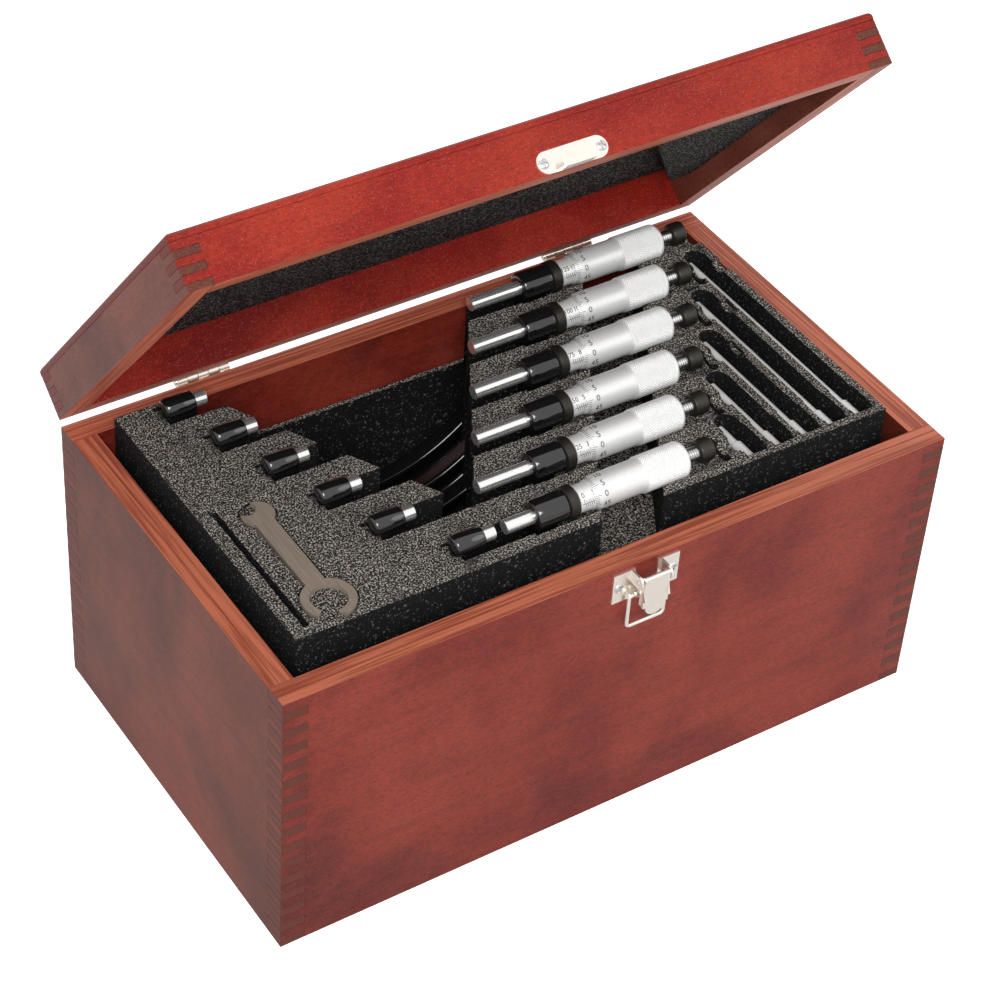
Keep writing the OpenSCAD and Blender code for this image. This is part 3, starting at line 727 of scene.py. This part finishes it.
def makeThimble(n):
    # a bevel with its scale, a plain part, a knurled grip and a rounded cap with a hole
    look = thimbleLook
    name = f"thimble_{n}"
    centre, length, outer = turnedBox(name)
    plain, step, holeFrom = outer - look["plainBelow"], look["plain"], length - look["holeLong"]
    start, end = step + 0.4, length - 1.5
    profile = [(0.0, look["bore"]), (0.0, look["bevel"]), (look["bevelLong"], plain - 0.02)]
    profile += [(look["bevelLong"] + 0.3, plain), (step - 0.4, plain)]
    profile += [(step, plain + 0.05), (step + 0.1, outer - 0.15)]
    profile += rowsBetween(start, end, 0.26, outer - 0.1)
    profile += [(length - 1.2, outer - 0.2), (length - 0.7, outer - 0.5), (length - 0.3, outer - 1.0)]
    profile += [(length - 0.05, outer - 1.8), (length, outer - 2.4), (length, 3.0)]
    profile += [(length - 0.4, look["hole"]), (holeFrom, look["hole"]), (holeFrom, look["bore"])]
    ridge = diamondKnurl(look["teeth"], outer, start, end, look["knurl"])
    mesh = turned(name, profile, centre, look["teeth"] * 6, ridge, ring=True)
    standIn(f"turned_thimble_{n}", name, mesh, satinChrome)
    return centre, plain


def makeLockRing(n):
    # a knurled ring with both rims rounded
    look = ringLook
    name = f"lock_ring_{n}"
    centre, length, outer = turnedBox(name)
    start, end, bore = look["edge"], length - look["edge"], look["bore"]
    profile = [(0.0, bore), (0.0, outer - 1.2), (0.35, outer - 0.4)]
    profile += rowsBetween(start, end, 0.2, outer - 0.12)
    profile += [(length - 0.35, outer - 0.4), (length, outer - 1.2), (length, bore)]
    ridge = diamondKnurl(look["teeth"], outer, start, end, look["knurl"])
    mesh = turned(name, profile, centre, look["teeth"] * 4, ridge, ring=True)
    standIn(f"knurled_ring_{n}", name, mesh, blackSteel)


def makeRatchet(n):
    # a bright ringed neck and a black knurled knob, which is a little smaller at both rims
    look = ratchetLook
    name = f"ratchet_{n}"
    centre, length, outer = turnedBox(name)
    stub, knob, pin, neckR = look["stub"], length - look["knob"], look["pin"], look["neck"]
    low = neckR - look["groove"]
    neck = [(0.0, 0.0), (0.0, pin), (stub - 0.2, pin), (stub - 0.2, 3.0), (stub, neckR)]
    for ring in np.arange(stub + 0.8, knob - 0.4, 1.1):
        neck += [(ring - 0.25, neckR), (ring - 0.15, low), (ring + 0.15, low), (ring + 0.25, neckR)]
    neck += [(knob - 0.02, neckR), (knob - 0.02, 0.0)]
    standIn(f"ratchet_neck_{n}", name, turned(name, neck, centre), neckSteel, 30)
    start, end = knob + 0.9, length - 1.1
    profile = [(knob, 0.0), (knob, outer - 1.2), (knob + 0.5, outer - 0.35)]
    profile += rowsBetween(start, end, 0.24, outer - 0.14)
    profile += [(length - 0.7, outer - 0.4), (length - 0.2, outer - 1.2), (length, outer - 2.0), (length, 0.0)]
    ridge = diamondKnurl(look["teeth"], outer, start, end, look["knurl"])
    standIn(f"ratchet_knob_{n}", name, turned(name, profile, centre, look["teeth"] * 4, ridge), blackSteel)


def flatBar(u0, u1, v0, v1):
    # a thin closed bar lying in the flat scale, in millimetres
    shape = bmesh.new()
    bmesh.ops.create_cube(shape, size=1.0)
    for vert in shape.verts:
        vert.co.x = u0 if vert.co.x < 0 else u1
        vert.co.y = v0 if vert.co.y < 0 else v1
        vert.co.z = 0.0 if vert.co.z < 0 else scaleLook["inkHeight"]
    return shape


def flatDigits(text, u, v, height):
    # plain numbers as thin closed letters, centred on a point of the flat scale
    curve = bpy.data.curves.new("digits", "FONT")
    curve.body = text
    curve.size = height / 0.7
    curve.align_x = "CENTER"
    curve.align_y = "CENTER"
    curve.resolution_u = 3
    curve.extrude = scaleLook["inkHeight"] / 2
    holder = bpy.data.objects.new("digits", curve)
    mesh = bpy.data.meshes.new_from_object(holder)
    shape = bmesh.new()
    shape.from_mesh(mesh)
    bmesh.ops.remove_doubles(shape, verts=shape.verts, dist=1e-4)
    for vert in shape.verts:
        vert.co.x += u
        vert.co.y += v
        vert.co.z += scaleLook["inkHeight"] / 2
    bpy.data.objects.remove(holder)
    bpy.data.curves.remove(curve)
    bpy.data.meshes.remove(mesh)
    return shape


def wrapScale(name, nodeName, shapes, centre, radiusAt):
    # flat marks bent round a cylinder or cone: along stays along X, and up becomes an angle
    joined = bmesh.new()
    for shape in shapes:
        flat = bpy.data.meshes.new("flat")
        shape.to_mesh(flat)
        shape.free()
        joined.from_mesh(flat)
        bpy.data.meshes.remove(flat)
    tops = [vert.co.y for vert in joined.verts]
    for level in np.arange(min(tops) + 0.3, max(tops), 0.4):
        bmesh.ops.bisect_plane(
            joined, geom=joined.verts[:] + joined.edges[:] + joined.faces[:], dist=1e-6,
            plane_co=(0, level, 0), plane_no=(0, 1, 0),
        )
    mesh = bpy.data.meshes.new(name)
    bmesh.ops.recalc_face_normals(joined, faces=joined.faces)
    joined.to_mesh(mesh)
    joined.free()
    points = np.empty(len(mesh.vertices) * 3)
    mesh.vertices.foreach_get("co", points)
    along, up, out = points.reshape(-1, 3).T
    base = radiusAt(along)
    angle = np.pi - (math.radians(scaleLook["lineAngle"]) + up / base.max())
    radius = base + out - scaleLook["sunk"]
    placed = np.stack([
        centre[0] + along, centre[1] + radius * np.cos(angle), centre[2] + radius * np.sin(angle)
    ], -1)
    mesh.vertices.foreach_set("co", (placed * mm).ravel())
    linkPiece(name, mesh, ink, bodyOf[nodeName], ())


def makeSleeve(n, thimbleStart):
    # the sleeve is turned, and its scale has a long line, whole marks over it and half marks under it
    name = f"sleeve_{n}"
    centre, length, outer = turnedBox(name)
    bore, tick, span = ringLook["bore"], scaleLook["tick"], scaleLook["range"]
    profile = [(0.0, bore), (0.0, outer - 0.25), (0.25, outer), (length - 0.3, outer), (length, outer - 0.3)]
    mesh = turned(name, profile + [(length, bore)], centre, 96, ring=True)
    standIn(f"turned_sleeve_{n}", name, mesh, satinChrome)
    zero = thimbleStart - scaleLook["openAtRest"] - centre[0]
    shapes = [flatBar(zero - 1.2, zero + span + 1.5, -tick / 2, tick / 2)]
    for step in range(2 * span + 1):
        place = zero + step / 2
        low, high = (0.1, 2.0) if step % 10 == 0 else (0.1, 1.4) if step % 2 == 0 else (-1.4, -0.1)
        shapes.append(flatBar(place - tick / 2, place + tick / 2, low, high))
        if step % 10 == 0:
            shapes.append(flatDigits(str(span * (n - 1) + step // 2), place, 3.6, scaleLook["digit"]))
    wrapScale(f"sleeve_scale_{n}", name, shapes, centre, lambda along: outer + 0 * along)


def makeThimbleScale(n, centre, plain):
    # fifty marks round the bevel, a longer one and a number at every fifth
    tick, divisions = scaleLook["tick"], scaleLook["divisions"]
    step = 2 * math.pi * plain / divisions
    shapes = []
    for mark in range(divisions):
        value = (mark - scaleLook["shown"]) % divisions
        up = (value if value < divisions / 2 else value - divisions) * step
        shapes.append(flatBar(0.12, 2.6 if mark % 5 == 0 else 1.7, up - tick / 2, up + tick / 2))
        if mark % 5 == 0:
            shapes.append(flatDigits(str(mark), 5.0, up, scaleLook["thimbleDigit"]))
    ends, radii = [0, thimbleLook["bevelLong"]], [thimbleLook["bevel"], plain]
    wrapScale(f"thimble_scale_{n}", f"thimble_{n}", shapes, centre, lambda along: np.interp(along, ends, radii))


frameLook = {
    "rod": 3.175,
    "hubLong": 15.0,
    "hubR": 6.6,
    "bore": 3.23,
    "tube": 4.97,
    "tubeLong": 12.2,
    "anvilOut": 5.5,
    "bossLong": 14.0,
    "bossR": 4.6,
    "bowGap": 0.5,
    "hubOverlap": 2.0,
    "deepThroat": 30.0,
    "dropShare": 0.8,
    "thick": 8.0,
    "web": 1.4,
    "webFrom": 7.0,
    "rim": 2.6,
    "round": 1.3,
}


def bowSection(inner, outer, hollow):
    # outline of the bow's section as (radius, across) points: a bar with round corners and, on both
    # faces, a recess as deep as hollow says
    look = frameLook
    half, rounding = look["thick"] / 2, look["round"]
    top = [(outer - rounding + rounding * math.sin(a), half - rounding + rounding * math.cos(a))
           for a in np.linspace(np.pi / 2, 0, 6)]
    dip = [(outer - look["rim"], half), (outer - look["rim"] - 0.8, half - hollow * 0.8),
           (outer - look["rim"] - 1.3, half - hollow), (inner + look["rim"] + 1.3, half - hollow),
           (inner + look["rim"] + 0.8, half - hollow * 0.8), (inner + look["rim"], half)]
    low = [(inner + rounding - rounding * math.sin(a), half - rounding + rounding * math.cos(a))
           for a in np.linspace(0, np.pi / 2, 6)]
    side = top + dip + low
    return side + [(radius, -across) for radius, across in side[::-1]]


def makeBow(name, centreX, axisY, axisZ, inner, outer, drop):
    # the section carried down one limb, round the half circle and up the other limb
    stations = [(-1.0, 0.0, lift) for lift in np.linspace(drop, 0, 5)[:-1]] if drop > 0 else []
    stations += [(math.cos(a), math.sin(a), 0.0) for a in np.linspace(np.pi, 2 * np.pi, 90)]
    stations += [(1.0, 0.0, lift) for lift in np.linspace(0, drop, 5)[1:]] if drop > 0 else []
    rows = []
    for cosine, sine, lift in stations:
        below = drop - lift - (inner + outer) / 2 * sine
        hollow = frameLook["web"] * min(1.0, max(0.0, (below - frameLook["webFrom"]) / 3.0))
        section = np.array(bowSection(inner, outer, hollow))
        rows.append(np.stack([
            centreX + section[:, 0] * cosine, axisY + section[:, 1], axisZ - drop + section[:, 0] * sine + lift
        ], -1))
    rows = [rows[0] * 0 + rows[0].mean(0)] + rows + [rows[-1] * 0 + rows[-1].mean(0)]
    points = np.array(rows)
    return meshFrom(name, points.reshape(-1, 3), gridFaces(len(rows), points.shape[1]))


def makeFrame(n):
    # the enamelled bow, hub and boss in one piece, and the ground anvil
    look = frameLook
    name = f"frame_{n}"
    frameLow = boxMm(name)[0]
    ring = boxMm(f"lock_ring_{n}")[0][0]
    axisY, axisZ = turnedBox(f"sleeve_{n}")[0][1:]
    bossEnd = frameLow[0] + look["bossLong"]
    left, right = bossEnd - look["bowGap"], ring - look["hubLong"] + look["hubOverlap"]
    inner = (right - left) / 2
    drop = max(0.0, look["deepThroat"] - inner) * look["dropShare"]
    outer = axisZ - drop - frameLow[2]
    bow = makeBow(name, (left + right) / 2, axisY, axisZ, inner, outer, drop)
    r, bore, tube, long = look["hubR"], look["bore"], look["tube"], look["hubLong"] - 0.3
    tubeEnd = long + look["tubeLong"]
    hubProfile = [(0, bore), (0, r - 1.1), (0.25, r - 0.5), (0.9, r), (long - 0.3, r), (long, r - 0.3)]
    hubProfile += [(long, tube), (tubeEnd, tube), (tubeEnd, bore)]
    hub = turned(name, hubProfile, (ring - look["hubLong"], axisY, axisZ), 96, ring=True)
    r, long = look["bossR"], look["bossLong"]
    bossProfile = [(0, 0), (0, r - 1.3), (0.4, r - 0.5), (1.3, r)]
    bossProfile += [(long - 0.8, r), (long - 0.2, r - 0.5), (long, r - 1.0), (long, 0)]
    boss = turned(name, bossProfile, (frameLow[0], axisY, axisZ))
    standIn(f"enamel_frame_{n}", name, joinPieces(name, [bow, hub, boss]), enamel)
    r, out = look["rod"], look["anvilOut"]
    anvilProfile = [(-3, 0), (-3, r), (out - 0.35, r), (out, r - 0.35), (out, 0)]
    anvil = turned(f"anvil_{n}", anvilProfile, (bossEnd, axisY, axisZ))
    standIn(f"ground_anvil_{n}", name, anvil, brightSteel)


spindleLook = {
    "rod": 3.175,
    "screw": 3.9,
    "screwFrom": 18.0,
    "tail": 2.5,
    "tailLong": 4.5,
    "bore": 1.65,
    "boreLong": 6.0,
}


def makeSpindle(n):
    # a ground rod, its thicker screw inside the sleeve and the tail that carries the thimble
    look = spindleLook
    name = f"spindle_{n}"
    centre, end = turnedBox(name)[:2]
    rod, screw, tail, bore = (look[key] for key in ("rod", "screw", "tail", "bore"))
    screwAt = boxMm(f"lock_ring_{n}")[0][0] + look["screwFrom"] - centre[0]
    tailAt, boreAt = end - look["tailLong"], end - look["boreLong"]
    profile = [(0, 0), (0, rod - 0.3), (0.3, rod), (screwAt, rod), (screwAt, screw), (tailAt, screw)]
    profile += [(tailAt, tail), (end, tail), (end, bore), (boreAt, bore), (boreAt, 0)]
    standIn(f"ground_spindle_{n}", name, turned(name, profile, centre), brightSteel)


for n in range(1, 7):
    centre, plain = makeThimble(n)
    makeLockRing(n)
    makeRatchet(n)
    makeSleeve(n, centre[0])
    makeThimbleScale(n, centre, plain)
    makeFrame(n)
    makeSpindle(n)
print("metal made")


# Floor, light and camera
studio = {
    "floor": (0.90, 0.90, 0.90),
    "floorSeen": (1.0, 1.0, 1.0),
    "floorGlow": 0.75,
    "world": 0.32,
    "key": 36.0,
    "fill": 6.0,
    "rim": 8.0,
}


def makeFloor():
    # a flat square that the camera sees as white, and that keeps the shadow
    side = 8.0
    mesh = bpy.data.meshes.new("studioFloor")
    corners = [(-side, -side, 0), (side, -side, 0), (side, side, 0), (-side, side, 0)]
    mesh.from_pydata(corners, [], [(0, 1, 2, 3)])
    floor = bpy.data.objects.new("studioFloor", mesh)
    scene.collection.objects.link(floor)
    material, tree, shader = makeMaterial("paleFloor")
    path = tree.nodes.new("ShaderNodeLightPath")
    color = mixColors(tree, path.outputs["Is Camera Ray"], studio["floor"], studio["floorSeen"])
    tree.links.new(color, shader.inputs["Base Color"])
    glow = calc(tree, "MULTIPLY", path.outputs["Is Camera Ray"], studio["floorGlow"])
    tree.links.new(glow, shader.inputs["Emission Strength"])
    shader.inputs["Emission Color"].default_value = (1, 1, 1, 1)
    shader.inputs["Roughness"].default_value = 0.9
    shader.inputs["Specular IOR Level"].default_value = 0.0
    mesh.materials.append(material)


def addLamp(name, place, aim, size, power):
    # a round soft lamp turned towards its aim
    data = bpy.data.lights.new(name, "AREA")
    data.shape = "DISK"
    data.size = size
    data.energy = power
    lamp = bpy.data.objects.new(name, data)
    lamp.location = place
    lamp.rotation_euler = (Vector(aim) - Vector(place)).to_track_quat("-Z", "Y").to_euler()
    scene.collection.objects.link(lamp)


def makeWorld():
    # dim for the light on the object, and white where it is seen, mirrored or seen through glass
    world = bpy.data.worlds.new("studioWorld")
    scene.world = world
    world.use_nodes = True
    tree = world.node_tree
    tree.nodes.clear()
    output = tree.nodes.new("ShaderNodeOutputWorld")
    background = tree.nodes.new("ShaderNodeBackground")
    background.inputs["Color"].default_value = (1, 1, 1, 1)
    tree.links.new(background.outputs[0], output.inputs[0])
    path = tree.nodes.new("ShaderNodeLightPath")
    seen = calc(tree, "ADD", path.outputs["Is Camera Ray"], path.outputs["Is Glossy Ray"])
    seen = calc(tree, "ADD", seen, path.outputs["Is Transmission Ray"], clamp=True)
    level = addNode(tree, "MapRange", {0: seen, 1: 0.0, 2: 1.0, 3: studio["world"], 4: 1.0})
    tree.links.new(level.outputs[0], background.inputs["Strength"])


makeFloor()
makeWorld()
addLamp("keyLamp", (-0.9, -1.5, 1.7), (0, 0, 0.1), 1.2, studio["key"])
addLamp("fillLamp", (1.6, -1.2, 1.2), (0, 0, 0.1), 1.4, studio["fill"])
addLamp("backLamp", (0.4, 1.5, 1.6), (0, 0, 0.1), 1.2, studio["rim"])

# The camera's turn round the target, its distance and its lens, as fitted to the photograph's view
shot = {
    "azimuth": -35.605,
    "elevation": 41.231,
    "roll": 4.319,
    "distance": 1249.8,
    "lens": 104.0,
    "target": (8.2, 13.56, 87.6),
}


def makeCamera():
    # its back points from the target at the two angles, and the frame is then rolled about it
    azimuth, elevation, roll = (math.radians(shot[key]) for key in ("azimuth", "elevation", "roll"))
    back = Vector((
        math.sin(azimuth) * math.cos(elevation), -math.cos(azimuth) * math.cos(elevation), math.sin(elevation)
    ))
    right = Vector((0, 0, 1)).cross(back).normalized()
    up = back.cross(right)
    turnedRight = right * math.cos(roll) + up * math.sin(roll)
    turnedUp = up * math.cos(roll) - right * math.sin(roll)
    place = Vector(shot["target"]) * mm + back * shot["distance"] * mm
    data = bpy.data.cameras.new("photoCamera")
    data.sensor_width = 36.0
    data.sensor_fit = "HORIZONTAL"
    data.lens = shot["lens"]
    data.clip_start = 0.01
    data.clip_end = 30.0
    camera = bpy.data.objects.new("photoCamera", data)
    basis = Matrix((turnedRight, turnedUp, back)).transposed().to_4x4()
    camera.matrix_world = Matrix.Translation(place) @ basis
    scene.collection.objects.link(camera)
    scene.camera = camera


makeCamera()
scene.view_settings.view_transform = "Standard"
print("studio ready")
